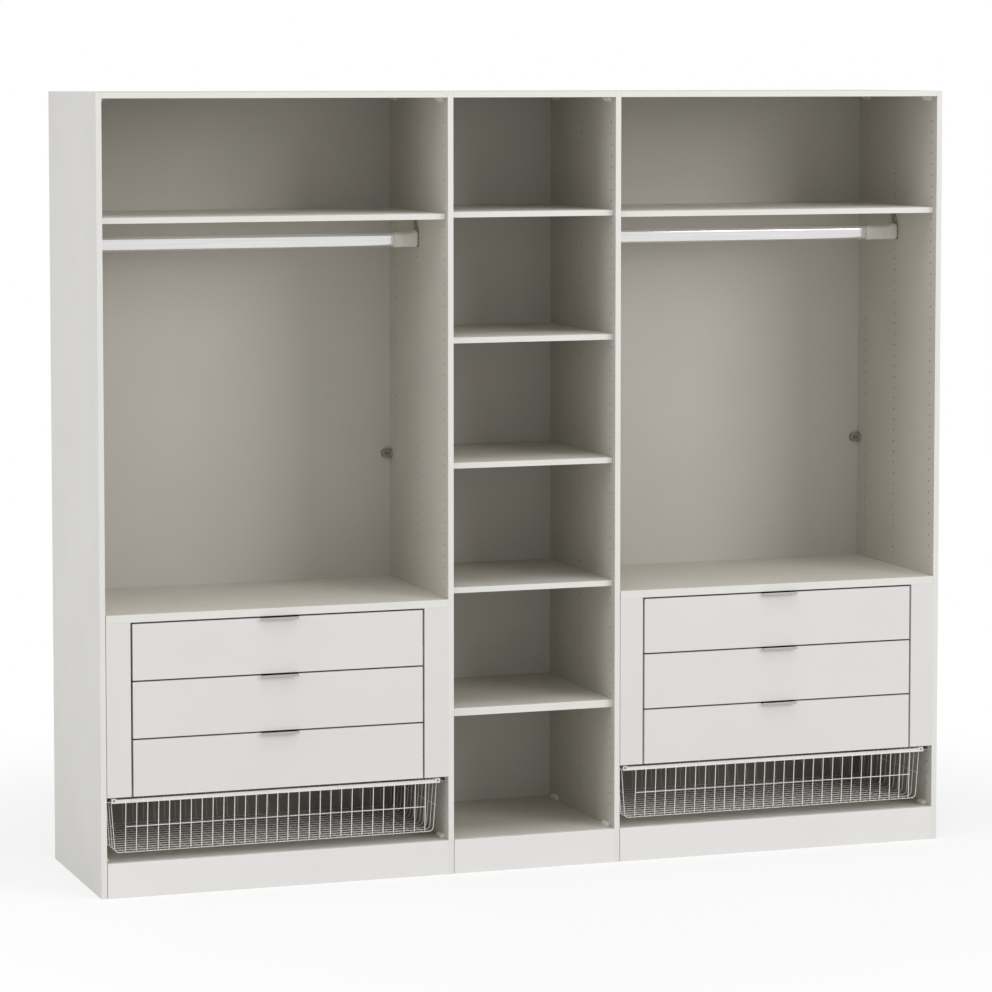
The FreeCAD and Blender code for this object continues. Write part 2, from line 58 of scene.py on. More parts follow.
def newLook(name):
    look = bpy.data.materials.new(name)
    look.use_nodes = True
    tree = look.node_tree
    coords = tree.nodes.new("ShaderNodeTexCoord")
    return look, tree, tree.nodes["Principled BSDF"], coords.outputs["Object"]


def addNoise(tree, place, scale, detail=2.0, stretch=(1, 1, 1)):
    mapping = tree.nodes.new("ShaderNodeMapping")
    mapping.inputs["Scale"].default_value = stretch
    noise = tree.nodes.new("ShaderNodeTexNoise")
    noise.inputs["Scale"].default_value = scale
    noise.inputs["Detail"].default_value = detail
    tree.links.new(place, mapping.inputs["Vector"])
    tree.links.new(mapping.outputs["Vector"], noise.inputs["Vector"])
    return noise.outputs["Fac"]


def addRamp(tree, factor, first, last):
    ramp = tree.nodes.new("ShaderNodeValToRGB")
    for element, position, colour in zip(ramp.color_ramp.elements, noiseBand["tone"], (first, last)):
        element.position = position
        element.color = (*colour, 1)
    tree.links.new(factor, ramp.inputs["Fac"])
    return ramp.outputs["Color"]


def addRange(tree, factor, low, high):
    spread = tree.nodes.new("ShaderNodeMapRange")
    spread.inputs["From Min"].default_value, spread.inputs["From Max"].default_value = noiseBand["rough"]
    spread.inputs["To Min"].default_value = low
    spread.inputs["To Max"].default_value = high
    tree.links.new(factor, spread.inputs["Value"])
    return spread.outputs["Result"]


def addBump(tree, shader, height, strength, distance):
    bump = tree.nodes.new("ShaderNodeBump")
    bump.inputs["Strength"].default_value = strength
    bump.inputs["Distance"].default_value = distance
    tree.links.new(height, bump.inputs["Height"])
    tree.links.new(bump.outputs["Normal"], shader.inputs["Normal"])


def addMath(tree, operation, *values):
    step = tree.nodes.new("ShaderNodeMath")
    step.operation = operation
    for socket, value in zip(step.inputs, values):
        if isinstance(value, (int, float)):
            socket.default_value = value
        else:
            tree.links.new(value, socket)
    return step.outputs["Value"]


def addMix(tree, factor, first, second):
    choose = tree.nodes.new("ShaderNodeMix")
    choose.data_type = "RGBA"
    tree.links.new(factor, choose.inputs["Factor"])
    tree.links.new(first, choose.inputs[6])  # 6, 7 and 2 are the colour sockets
    tree.links.new(second, choose.inputs[7])
    return choose.outputs[2]


def splitVector(tree, vector):
    split = tree.nodes.new("ShaderNodeSeparateXYZ")
    tree.links.new(vector, split.inputs["Vector"])
    return split.outputs


# masks for boards with more than one finish, and for faces that carry painted shade

boardMask = {"facing": 0.9, "skin": 0.0004, "edgeSkin": 0.0008, "outerSkin": 0.0002}


def addFaceMask(tree, axis):
    # 1 on the faces that look along an axis towards its minus end
    normal = next(node for node in tree.nodes if node.type == "TEX_COORD").outputs["Normal"]
    return addMath(tree, "LESS_THAN", splitVector(tree, normal)[axis], -boardMask["facing"])


def addWithin(tree, value, low, high, skin):
    # 1 between two ends, by at least a skin's thickness
    return addMath(tree, "COMPARE", value, (low + high) / 2, (high - low) / 2 - skin)


def addHoleMask(tree, place):
    # 1 within the thickness of an upright, away from its four edges, so inside its holes
    spot = splitVector(tree, place)
    away = addMath(tree, "ABSOLUTE", spot["X"])
    uprights = (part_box("left_side_panel"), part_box("left_partition"))
    boards = [addWithin(tree, away, -high.x, -low.x, boardMask["skin"]) for low, high in uprights]
    low, high = uprights[0]
    deep = addWithin(tree, spot["Y"], low.y, high.y, boardMask["edgeSkin"])
    tall = addWithin(tree, spot["Z"], low.z, high.z, boardMask["edgeSkin"])
    inside = addMath(tree, "MULTIPLY", deep, tall)
    return addMath(tree, "MULTIPLY", addMath(tree, "MAXIMUM", *boards), inside)


def addOuterShadeMask(tree, place):
    # 1 on the outer faces of the two side panels
    away = addMath(tree, "ABSOLUTE", splitVector(tree, place)["X"])
    return addMath(tree, "GREATER_THAN", away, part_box("right_side_panel")[1].x - boardMask["outerSkin"])


# coated board: faint mottling, fine pearl texture, satin sheen

def coatedBoard(name, values):
    look, tree, shader, place = newLook(name)
    mottle = addNoise(tree, place, values["mottle"], detail=3.0)
    colour = addRamp(tree, mottle, values["dark"], values["light"])
    if "edgeLight" in values:
        edge = addRamp(tree, mottle, values["edgeDark"], values["edgeLight"])
        colour = addMix(tree, addFaceMask(tree, "Y"), colour, edge)
    # raw-board brown on the downward faces, kept dark as painted shade for the space under the drawers
    if "rawShadeLight" in values:
        raw = addRamp(tree, mottle, values["rawShadeDark"], values["rawShadeLight"])
        colour = addMix(tree, addFaceMask(tree, "Z"), colour, raw)
    # painted shade on the outer faces of the side panels, darker than the front edges
    if "outerShadeLight" in values:
        outer = addRamp(tree, mottle, values["outerShadeDark"], values["outerShadeLight"])
        colour = addMix(tree, addOuterShadeMask(tree, place), colour, outer)
    # bare chipboard tone in the shelf-pin holes, kept dark as painted shade in these recesses
    if "chipShadeLight" in values:
        grain = addNoise(tree, place, values["chips"], detail=3.0)
        chips = addRamp(tree, grain, values["chipShadeDark"], values["chipShadeLight"])
        colour = addMix(tree, addHoleMask(tree, place), colour, chips)
    tree.links.new(colour, shader.inputs["Base Color"])
    pearl = addNoise(tree, place, values["pearl"], detail=1.0)
    tree.links.new(addRange(tree, pearl, *values["rough"]), shader.inputs["Roughness"])
    addBump(tree, shader, pearl, values["bump"], values["bumpDepth"])
    shader.inputs["Specular IOR Level"].default_value = values["gloss"]
    return look


# painted shade: the faces of the carcass boards are written darker than their front edges, to stand in for
# the shade inside the bays; the front edges keep the board's own white
carcassBoardPaintedShade = {
    "light": (0.549, 0.527, 0.475), "dark": (0.530, 0.509, 0.458), "mottle": 5.0,
    "edgeLight": (0.745, 0.735, 0.702), "edgeDark": (0.730, 0.720, 0.687),  # front edges
    "pearl": 900.0, "rough": (0.50, 0.62), "bump": 0.12, "bumpDepth": 0.0004, "gloss": 0.25,
}
# uprights: the carcass tones, with painted shade on the outer faces of the side panels
uprightBoardPaintedShade = dict(
    carcassBoardPaintedShade, outerShadeLight=(0.563, 0.557, 0.536), outerShadeDark=(0.549, 0.543, 0.521),
    # holes: bare chipboard tone darkened as painted shade in the recess
    chipShadeLight=(0.20, 0.15, 0.10), chipShadeDark=(0.09, 0.065, 0.04), chips=700.0,  # bare chipboard in the holes
)
# painted light: the shelves, chest tops and centre bottom panel are written lighter than the other inside
# boards, for the light from above on their tops
shelfBoardPaintedLight = dict(carcassBoardPaintedShade, light=(0.610, 0.585, 0.528), dark=(0.591, 0.567, 0.510))
# painted light: the hat shelves are written lighter still, for the light from above and in front on their
# tops
hatShelfBoardPaintedLight = dict(carcassBoardPaintedShade, light=(0.745, 0.720, 0.658), dark=(0.725, 0.701, 0.640))
# painted shade: the back panels are written darker than the board's own white, to stand in for the shade
# inside the bays
backBoardPaintedShade = {
    "light": (0.549, 0.527, 0.482), "dark": (0.531, 0.510, 0.465), "mottle": 3.0,
    "pearl": 900.0, "rough": (0.46, 0.58), "bump": 0.12, "bumpDepth": 0.0004, "gloss": 0.3,
}
frontBoard = {
    "light": (0.717, 0.702, 0.690), "dark": (0.704, 0.690, 0.678), "mottle": 4.0,
    "pearl": 900.0, "rough": (0.38, 0.48), "bump": 0.10, "bumpDepth": 0.0004, "gloss": 0.35,
}
plinthBoard = dict(frontBoard, light=(0.769, 0.755, 0.742), dark=(0.757, 0.742, 0.729))
drawerBoard = {
    "light": (0.74, 0.73, 0.70), "dark": (0.70, 0.69, 0.66), "mottle": 14.0,
    # undersides: raw-board brown that also serves as painted shade under the drawers
    "rawShadeLight": (0.24, 0.17, 0.105), "rawShadeDark": (0.17, 0.115, 0.07),  # uncoated undersides
    "pearl": 500.0, "rough": (0.5, 0.62), "bump": 0.2, "bumpDepth": 0.0005, "gloss": 0.3,
}


# powder coat and moulded plastic: orange peel, slight gloss spread

def fineCoat(name, values):
    look, tree, shader, place = newLook(name)
    peel = addNoise(tree, place, values["peel"])
    tone = addNoise(tree, place, values["tone"])
    tree.links.new(addRamp(tree, tone, values["dark"], values["light"]), shader.inputs["Base Color"])
    tree.links.new(addRange(tree, peel, *values["rough"]), shader.inputs["Roughness"])
    addBump(tree, shader, peel, values["bump"], values["bumpDepth"])
    shader.inputs["Specular IOR Level"].default_value = values["gloss"]
    return look


whiteWire = {
    "light": (0.86, 0.85, 0.82), "dark": (0.82, 0.81, 0.78), "tone": 30.0,
    "peel": 700.0, "rough": (0.28, 0.42), "bump": 0.15, "bumpDepth": 0.0003, "gloss": 0.45,
}
whiteSteel = {
    "light": (0.76, 0.75, 0.72), "dark": (0.71, 0.70, 0.67), "tone": 25.0,
    "peel": 600.0, "rough": (0.32, 0.48), "bump": 0.15, "bumpDepth": 0.0003, "gloss": 0.45,
}
whitePlastic = {
    "light": (0.74, 0.72, 0.66), "dark": (0.70, 0.68, 0.62), "tone": 40.0,
    "peel": 1200.0, "rough": (0.38, 0.52), "bump": 0.12, "bumpDepth": 0.0003, "gloss": 0.45,
}
greyPlastic = {
    "light": (0.30, 0.28, 0.25), "dark": (0.25, 0.235, 0.21), "tone": 60.0,
    "peel": 1400.0, "rough": (0.42, 0.58), "bump": 0.15, "bumpDepth": 0.0003, "gloss": 0.45,
}
darkPlastic = dict(greyPlastic, light=(0.080, 0.074, 0.066), dark=(0.060, 0.056, 0.050))


# bare metal: fine drawing lines along one direction

def drawnMetal(name, values):
    look, tree, shader, place = newLook(name)
    lines = addNoise(tree, place, values["lines"], stretch=values["stretch"])
    tree.links.new(addRamp(tree, lines, values["dark"], values["light"]), shader.inputs["Base Color"])
    tree.links.new(addRange(tree, lines, *values["rough"]), shader.inputs["Roughness"])
    addBump(tree, shader, lines, values["bump"], values["bumpDepth"])
    shader.inputs["Metallic"].default_value = values["metal"]
    return look


chromeTube = {
    "light": (0.82, 0.82, 0.82), "dark": (0.77, 0.77, 0.775), "lines": 260.0, "stretch": (0.02, 1, 1),
    "metal": 0.75, "rough": (0.05, 0.09), "bump": 0.01, "bumpDepth": 0.0002,
}
pullMetal = {
    "light": (0.480, 0.473, 0.464), "dark": (0.430, 0.423, 0.414), "lines": 420.0, "stretch": (0.03, 1, 1),
    "metal": 1.0, "rough": (0.015, 0.03), "bump": 0.004, "bumpDepth": 0.0002,
}
pinSteel = {
    "light": (0.62, 0.61, 0.60), "dark": (0.52, 0.51, 0.50), "lines": 600.0, "stretch": (1, 1, 1),
    "metal": 1.0, "rough": (0.25, 0.4), "bump": 0.05, "bumpDepth": 0.0002,
}

looks = {
    "white_board": coatedBoard("carcassBoardPaintedShade", carcassBoardPaintedShade),
    "upright_board": coatedBoard("uprightBoardPaintedShade", uprightBoardPaintedShade),
    "shelf_board": coatedBoard("shelfBoardPaintedLight", shelfBoardPaintedLight),
    "hat_shelf_board": coatedBoard("hatShelfBoardPaintedLight", hatShelfBoardPaintedLight),
    "back_board": coatedBoard("backBoardPaintedShade", backBoardPaintedShade),
    "front_board": coatedBoard("frontBoard", frontBoard),
    "plinth_board": coatedBoard("plinthBoard", plinthBoard),
    "drawer_board": coatedBoard("drawerBoard", drawerBoard),
    "chrome_tube": drawnMetal("chromeTube", chromeTube),
    "pull_metal": drawnMetal("pullMetal", pullMetal),
    "steel_pin": drawnMetal("pinSteel", pinSteel),
    "white_plastic": fineCoat("whitePlastic", whitePlastic),
    "grey_plastic": fineCoat("greyPlastic", greyPlastic),
    "dark_plastic": fineCoat("darkPlastic", darkPlastic),
    "white_steel": fineCoat("whiteSteel", whiteSteel),
    "white_wire": fineCoat("whiteWire", whiteWire),
}

# boards whose look differs from that of their material slot: the fronts and plinths by their finish, the
# uprights and shelves by painted light and shade; the first match counts
lookEndings = {
    "front_board": ("_front", "_fillers"),
    "plinth_board": ("_plinth",),
    "upright_board": ("_side_panel", "_partition"),
    "hat_shelf_board": ("_hat_shelf",),
    "shelf_board": ("_shelf", "_shelf_1", "_shelf_2", "_shelf_3", "_shelf_4", "_chest_top",
                    "centre_bottom_panel"),
}


def chooseLook(node, slot):
    for look, endings in lookEndings.items():
        if node.endswith(endings):
            return look
    return slot


for entry in frame["record"]["subparts"]:
    part = nodes[entry["node"]]
    part.data.materials.clear()
    part.data.materials.append(looks[chooseLook(entry["node"], entry["material_slot"])])
print("materials:", len(looks))


# eased edges on the plain boards, the pulls and the corner connectors

easedEdges = {
    "board": 0.0007, "metal": 0.0004, "plastic": 0.0015, "segments": 2, "weld": 0.00001, "angle": 30,
}
plainBoards = ("_top_panel", "_bottom_panel", "_plinth", "_hat_shelf", "_fixed_shelf", "_chest_top",
               "_chest_fillers", "_front")


def easeEdges(part, width):
    weld = part.modifiers.new("weld", "WELD")
    weld.merge_threshold = easedEdges["weld"]
    bevel = part.modifiers.new("ease", "BEVEL")
    bevel.width = width
    bevel.segments = easedEdges["segments"]
    bevel.limit_method = "ANGLE"
    bevel.angle_limit = math.radians(easedEdges["angle"])
    bevel.harden_normals = True


for name, part in nodes.items():
    if name.endswith(plainBoards):
        easeEdges(part, easedEdges["board"])
    elif name.endswith("_pull"):
        easeEdges(part, easedEdges["metal"])
    elif name == "corner_connectors":
        easeEdges(part, easedEdges["plastic"])
print("edges eased")


# mesh and geometry node helpers

def newPiece(name, data):
    piece = bpy.data.objects.new(name, data)
    bpy.context.scene.collection.objects.link(piece)
    return piece


def meshFrom(name, shape):
    mesh = bpy.data.meshes.new(name)
    shape.to_mesh(mesh)
    shape.free()
    return mesh


def joinMeshes(name, meshes):
    shape = bmesh.new()
    for mesh in meshes:
        shape.from_mesh(mesh)
    joined = meshFrom(name, shape)
    for look in meshes[0].materials:
        joined.materials.append(look)
    return joined


def bridgeRings(shape, rings):
    # a closed skin over rings that have the same number of points
    loops = [[shape.verts.new(point) for point in ring] for ring in rings]
    for first, second in zip(loops, loops[1:]):
        for index in range(len(first)):
            after = (index + 1) % len(first)
            shape.faces.new((first[index], first[after], second[after], second[index]))
    shape.faces.new(loops[0])
    shape.faces.new(loops[-1])


def startTree(name, sockets):
    tree = bpy.data.node_groups.new(name, "GeometryNodeTree")
    tree.interface.new_socket("Geometry", in_out="INPUT", socket_type="NodeSocketGeometry")
    tree.interface.new_socket("Geometry", in_out="OUTPUT", socket_type="NodeSocketGeometry")
    keys = {}
    for label, kind in sockets:
        keys[label] = tree.interface.new_socket(label, in_out="INPUT", socket_type=kind).identifier
    return tree, keys, tree.nodes.new("NodeGroupInput"), tree.nodes.new("NodeGroupOutput")


def finishTree(tree, source, result, geometry):
    realize = tree.nodes.new("GeometryNodeRealizeInstances")
    smooth = tree.nodes.new("GeometryNodeSetShadeSmooth")
    paint = tree.nodes.new("GeometryNodeSetMaterial")
    tree.links.new(geometry, realize.inputs["Geometry"])
    tree.links.new(realize.outputs["Geometry"], smooth.inputs["Geometry"])
    tree.links.new(smooth.outputs["Geometry"], paint.inputs["Geometry"])
    tree.links.new(source.outputs["Material"], paint.inputs["Material"])
    tree.links.new(paint.outputs["Geometry"], result.inputs["Geometry"])


def growMesh(name, tree, keys, values, start=None):
    # the result of a tree as a plain mesh
    piece = newPiece(name, start or bpy.data.meshes.new(name))
    grow = piece.modifiers.new("grow", "NODES")
    grow.node_group = tree
    for label, value in values.items():
        grow[keys[label]] = value
    seen = piece.evaluated_get(bpy.context.evaluated_depsgraph_get())
    mesh = bpy.data.meshes.new_from_object(seen)
    bpy.data.objects.remove(piece)
    return mesh


# wire rows of the baskets: one bent wire, repeated along a line

basketWires = {
    "wireRadius": 0.0013, "wireSides": 8, "bendRadius": 0.013, "bendSteps": 6, "stripThick": 0.002,
    "top": 0.2665, "floor": 0.117, "weldSink": 0.0008, "lean": math.radians(4.2),
    "longCount": 29, "longPitch": 0.0309, "sideCount": 14, "sidePitch": 0.0304,
    "barHeight": 0.191, "barPoints": (0, 0.33, 0.67, 1),
}
wirePoints = ("Start", "First Bend", "Second Bend", "End")


def buildWireRow():
    sockets = [(label, "NodeSocketVector") for label in wirePoints]
    sockets += [
        ("Bend Radius", "NodeSocketFloat"), ("Wire Radius", "NodeSocketFloat"),
        ("Count", "NodeSocketInt"), ("Step", "NodeSocketVector"), ("Material", "NodeSocketMaterial"),
    ]
    tree, keys, source, result = startTree("wireRow", sockets)
    route = tree.nodes.new("GeometryNodeMeshLine")
    route.inputs["Count"].default_value = len(wirePoints)
    index = tree.nodes.new("GeometryNodeInputIndex")
    pick = tree.nodes.new("GeometryNodeIndexSwitch")
    pick.data_type = "VECTOR"
    while len(pick.index_switch_items) < len(wirePoints):
        pick.index_switch_items.new()
    tree.links.new(index.outputs["Index"], pick.inputs["Index"])
    for number, label in enumerate(wirePoints):
        tree.links.new(source.outputs[label], pick.inputs[number + 1])
    move = tree.nodes.new("GeometryNodeSetPosition")
    tree.links.new(route.outputs["Mesh"], move.inputs["Geometry"])
    tree.links.new(pick.outputs["Output"], move.inputs["Position"])
    curve = tree.nodes.new("GeometryNodeMeshToCurve")
    tree.links.new(move.outputs["Geometry"], curve.inputs["Mesh"])
    bend = tree.nodes.new("GeometryNodeFilletCurve")
    bend.mode = "POLY"
    bend.inputs["Count"].default_value = basketWires["bendSteps"]
    bend.inputs["Limit Radius"].default_value = True
    tree.links.new(curve.outputs["Curve"], bend.inputs["Curve"])
    tree.links.new(source.outputs["Bend Radius"], bend.inputs["Radius"])
    ring = tree.nodes.new("GeometryNodeCurvePrimitiveCircle")
    ring.inputs["Resolution"].default_value = basketWires["wireSides"]
    tree.links.new(source.outputs["Wire Radius"], ring.inputs["Radius"])
    sweep = tree.nodes.new("GeometryNodeCurveToMesh")
    sweep.inputs["Fill Caps"].default_value = True
    tree.links.new(bend.outputs["Curve"], sweep.inputs["Curve"])
    tree.links.new(ring.outputs["Curve"], sweep.inputs["Profile Curve"])
    row = tree.nodes.new("GeometryNodeMeshLine")
    tree.links.new(source.outputs["Count"], row.inputs["Count"])
    tree.links.new(source.outputs["Step"], row.inputs["Offset"])
    spread = tree.nodes.new("GeometryNodeInstanceOnPoints")
    tree.links.new(row.outputs["Mesh"], spread.inputs["Points"])
    tree.links.new(sweep.outputs["Mesh"], spread.inputs["Instance"])
    finishTree(tree, source, result, spread.outputs["Instances"])
    return tree, keys


wireTree, wireKeys = buildWireRow()


def wireRow(name, points, count, step):
    values = dict(zip(wirePoints, points))
    values.update({
        "Bend Radius": basketWires["bendRadius"], "Wire Radius": basketWires["wireRadius"],
        "Count": count, "Step": step, "Material": looks["white_wire"],
    })
    return growMesh(name, wireTree, wireKeys, values)


def makeBasket(side):
    wire = basketWires
    low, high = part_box(f"{side}_basket_rim")
    middle = (low + high) / 2
    radius, top, floor = wire["wireRadius"], wire["top"], wire["floor"]
    inset = wire["stripThick"] + radius
    left, right, front, rear = low.x + inset, high.x - inset, low.y + inset, high.y - inset
    under = floor - 2 * radius + wire["weldSink"]  # the long wires run under the side wires
    slope = math.tan(wire["lean"])
    longLean, sideLean = (top - under) * slope, (top - floor) * slope
    firstX = middle.x - wire["longPitch"] * (wire["longCount"] - 1) / 2
    firstY = middle.y - wire["sidePitch"] * (wire["sideCount"] - 1) / 2
    lastX, lastY = 2 * middle.x - firstX, 2 * middle.y - firstY
    longRow = [(firstX, front, top), (firstX, front + longLean, under),
               (firstX, rear - longLean, under), (firstX, rear, top)]
    sideRow = [(left, firstY, top), (left + sideLean, firstY, floor),
               (right - sideLean, firstY, floor), (right, firstY, top)]
    meshes = [
        wireRow("longWires", longRow, wire["longCount"], (wire["longPitch"], 0, 0)),
        wireRow("sideWires", sideRow, wire["sideCount"], (0, wire["sidePitch"], 0)),
    ]
    # girdle bars at mid height, welded to the outside of the hanging wires
    proud = 2 * radius - wire["weldSink"]
    drop = (top - wire["barHeight"]) * slope
    bars = [
        ((firstX - radius, front + drop - proud), (lastX + radius, front + drop - proud)),
        ((firstX - radius, rear - drop + proud), (lastX + radius, rear - drop + proud)),
        ((left + drop - proud, firstY - radius), (left + drop - proud, lastY + radius)),
        ((right - drop + proud, firstY - radius), (right - drop + proud, lastY + radius)),
    ]
    for bar in bars:
        start, end = (Vector((x, y, wire["barHeight"])) for x, y in bar)
        points = [start.lerp(end, share) for share in wire["barPoints"]]
        meshes.append(wireRow("girdleBar", points, 1, (0, 0, 0)))
    basket = newPiece(f"{side}BasketWires", joinMeshes(f"{side}BasketWires", meshes))
    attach(basket, f"{side}_basket")
    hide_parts(f"{side}_basket_wires")


for side in wideBays:
    makeBasket(side)
print("basket wires done")


# rail brackets: flared oval sleeve with a rounded end, on a grey wall plate with a slanted arm, the plate
# grey as painted shade for the shadow line along its edge

railBracket = {
    "radius": 0.01085, "bore": 0.0097, "boreDepth": 0.02, "straight": 0.021, "lip": 0.0004, "ringPoints": 20,
    "sleeves": {"left": (0.060, 0.074), "right": (0.060, 0.102)},  # lengths at the left and right wall
    # distance from the wall and rise of the top
    "flare": ((0.050, 0.0), (0.038, 0.0008), (0.028, 0.0020), (0.019, 0.0034), (0.010, 0.0050)),
    # distance from the mouth and growth to the front and rear
    "mouth": ((0.0, -0.0007), (0.005, 0.0002), (0.012, 0.0018), (0.020, 0.0036), (0.028, 0.0046)),
    "round": 0.0075, "roundSteps": 6,
    "arm": ((-0.010, -0.022), (0.010, -0.022), (0.035, 0.066), (0.013, 0.066), (-0.010, 0.026)),
    "armMiddle": (0.004, 0.012), "armRound": 0.003, "armSteps": 6, "armEdge": 0.0008, "plate": 0.0025,
    "screws": ((0.010, 0.040), (0.022, 0.058)), "sharpAngle": 40,
}


def ovalRing(x, radius, rise, centre, towards, spread=0.0):
    points = []
    count = railBracket["ringPoints"]
    half = railBracket["straight"] / 2
    for end, lift in ((1, rise), (-1, 0)):
        for step in range(count):
            angle = math.pi * step / (count - 1)
            y = end * (radius + spread) * math.cos(angle)
            z = end * (half + radius * math.sin(angle)) + lift
            points.append(Vector((centre.x + towards * x, centre.y + y, centre.z + z)))
    return points


def roundedOutline(corners, radius, steps):
    outline = []
    count = len(corners)
    for index, corner in enumerate(corners):
        before = (corners[index - 1] - corner).normalized()
        after = (corners[(index + 1) % count] - corner).normalized()
        half = before.angle(after) / 2
        reach = radius / math.tan(half)
        middle = corner + (before + after).normalized() * (radius / math.sin(half))
        first = corner + before * reach - middle
        last = corner + after * reach - middle
        for step in range(steps + 1):
            outline.append(middle + first.lerp(last, step / steps).normalized() * radius)
    return outline


def addSleeve(shape, centre, towards, length):
    values = railBracket
    radius, bore, lip = values["radius"], values["bore"], values["lip"]
    rings = [
        ovalRing(length - values["boreDepth"], bore, 0, centre, towards),
        ovalRing(length - lip, bore, 0, centre, towards),
        ovalRing(length, bore + lip, 0, centre, towards),
    ]
    for along, growth in values["mouth"]:
        slim = lip if along == 0 else 0
        rings.append(ovalRing(length - along, radius - slim, 0, centre, towards, growth))
    mouthEnd, spread = values["mouth"][-1]
    for x, rise in values["flare"]:
        if x < length - mouthEnd:
            rings.append(ovalRing(x, radius, rise, centre, towards, spread))
    start, top = values["flare"][-1]
    for step in range(1, values["roundSteps"] + 1):
        turn = math.pi / 2 * step / values["roundSteps"]
        inset = values["round"] * (1 - math.cos(turn))
        x = start - values["round"] * math.sin(turn)
        rings.append(ovalRing(x, radius - inset, top, centre, towards, spread))
    bridgeRings(shape, rings)


def addArm(shape, centre, towards):
    values = railBracket
    corners = [Vector(corner) for corner in values["arm"]]
    outline = roundedOutline(corners, values["armRound"], values["armSteps"])
    edge, thick, middle = values["armEdge"], values["plate"], Vector(values["armMiddle"])
    small = [point - (point - middle).normalized() * edge for point in outline]
    steps = ((0.0, outline), (thick - edge, outline), (thick, small))
    bridgeRings(shape, [[centre + Vector((towards * x, y, z)) for y, z in ring] for x, ring in steps])


def finishBracket(name, shape, look):
    bmesh.ops.recalc_face_normals(shape, faces=shape.faces)
    mesh = meshFrom(name, shape)
    mesh.materials.append(looks[look])
    mesh.shade_smooth()
    mesh.set_sharp_from_angle(angle=math.radians(railBracket["sharpAngle"]))
    return newPiece(name, mesh)


def makeBrackets(side):
    railLow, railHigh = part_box(f"{side}_hanging_rail")
    plateLow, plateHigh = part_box(f"{side}_rail_brackets")
    axis = (railLow + railHigh) / 2
    sleeves, arms = bmesh.new(), bmesh.new()
    for towards, wall, length in zip((1, -1), (plateLow.x, plateHigh.x), railBracket["sleeves"][side]):
        centre = Vector((wall, axis.y, axis.z))
        addSleeve(sleeves, centre, towards, length)
        addArm(arms, centre, towards)
    sleevePiece = finishBracket(f"{side}RailSleeves", sleeves, "white_plastic")
    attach(sleevePiece, "carcass")
    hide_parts(f"{side}_rail_brackets")
    # the arm plate is grey as painted shade, so that its edge reads as the shadow line beside the wall
    armPiece = finishBracket(f"{side}RailArms", arms, "grey_plastic")
    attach(armPiece, "carcass")


for side in wideBays:
    makeBrackets(side)
print("rail brackets done")


# cross-head screws on the fittings

screwHead = {
    "radius": 0.0032, "height": 0.0011, "sink": 0.0002, "recess": 0.0007, "sharpAngle": 35,
    # shares of the radius, and of the height for the shoulder
    "crossReach": 0.62, "crossHalf": 0.17, "crossTaper": 0.8, "crown": 0.85, "shoulder": 0.4,
}


def buildScrewShape():
    radius, height, taper = screwHead["radius"], screwHead["height"], screwHead["crossTaper"]
    arm, half = screwHead["crossReach"] * radius, screwHead["crossHalf"] * radius
    cross = [(arm, half), (half, half), (half, arm), (-half, arm), (-half, half), (-arm, half),
             (-arm, -half), (-half, -half), (-half, -arm), (half, -arm), (half, -half), (arm, -half)]

    def circleLike(reach, z):
        return [Vector((x, y, 0)).normalized() * reach + Vector((0, 0, z)) for x, y in cross]

    shape = bmesh.new()
    bridgeRings(shape, [
        circleLike(radius, -screwHead["sink"]),
        circleLike(radius, screwHead["shoulder"] * height),
        circleLike(screwHead["crown"] * radius, height),
        [Vector((x, y, height)) for x, y in cross],
        [Vector((taper * x, taper * y, height - screwHead["recess"])) for x, y in cross],
    ])
    bmesh.ops.recalc_face_normals(shape, faces=shape.faces)
    return meshFrom("screwShape", shape)


def buildScrewTree():
    sockets = [("Screw", "NodeSocketObject"), ("Material", "NodeSocketMaterial")]
    tree, keys, source, result = startTree("screwHeads", sockets)
    pick = tree.nodes.new("GeometryNodeObjectInfo")
    tree.links.new(source.outputs["Screw"], pick.inputs["Object"])
    aim = tree.nodes.new("GeometryNodeInputNamedAttribute")
    aim.data_type = "FLOAT_VECTOR"
    aim.inputs["Name"].default_value = "aim"
    turn = tree.nodes.new("FunctionNodeAlignRotationToVector")
    turn.axis = "Z"
    tree.links.new(aim.outputs["Attribute"], turn.inputs["Vector"])
    spread = tree.nodes.new("GeometryNodeInstanceOnPoints")
    tree.links.new(source.outputs["Geometry"], spread.inputs["Points"])
    tree.links.new(pick.outputs["Geometry"], spread.inputs["Instance"])
    tree.links.new(turn.outputs["Rotation"], spread.inputs["Rotation"])
    finishTree(tree, source, result, spread.outputs["Instances"])
    return tree, keys


screwTree, screwKeys = buildScrewTree()
screwShape = newPiece("screwShape", buildScrewShape())


def makeScrews(name, spots, body, look):
    points = bpy.data.meshes.new(name)
    points.from_pydata([spot for spot, aim in spots], [], [])
    aims = points.attributes.new("aim", "FLOAT_VECTOR", "POINT")
    aims.data.foreach_set("vector", [number for spot, aim in spots for number in aim])
    values = {"Screw": screwShape, "Material": looks[look]}
    piece = newPiece(name, growMesh(name, screwTree, screwKeys, values, points))
    piece.data.set_sharp_from_angle(angle=math.radians(screwHead["sharpAngle"]))
    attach(piece, body)


fittings = {
    "connectorSize": 0.012, "connectorNose": 0.005, "connectorLength": 0.046, "connectorEnds": (0.011, 0.035),
    "clampAcross": 0.015, "clampFace": 0.008,
    "runnerGap": 0.0118, "runnerSteel": 0.0012, "runnerRise": 0.024, "runnerScrews": (0.05, 0.19, 0.36),
    "basketSteel": 0.0015, "basketRise": 0.012, "basketScrews": (0.05, 0.21, 0.39),
}


# each spot is a place and the direction that the screw's head looks in

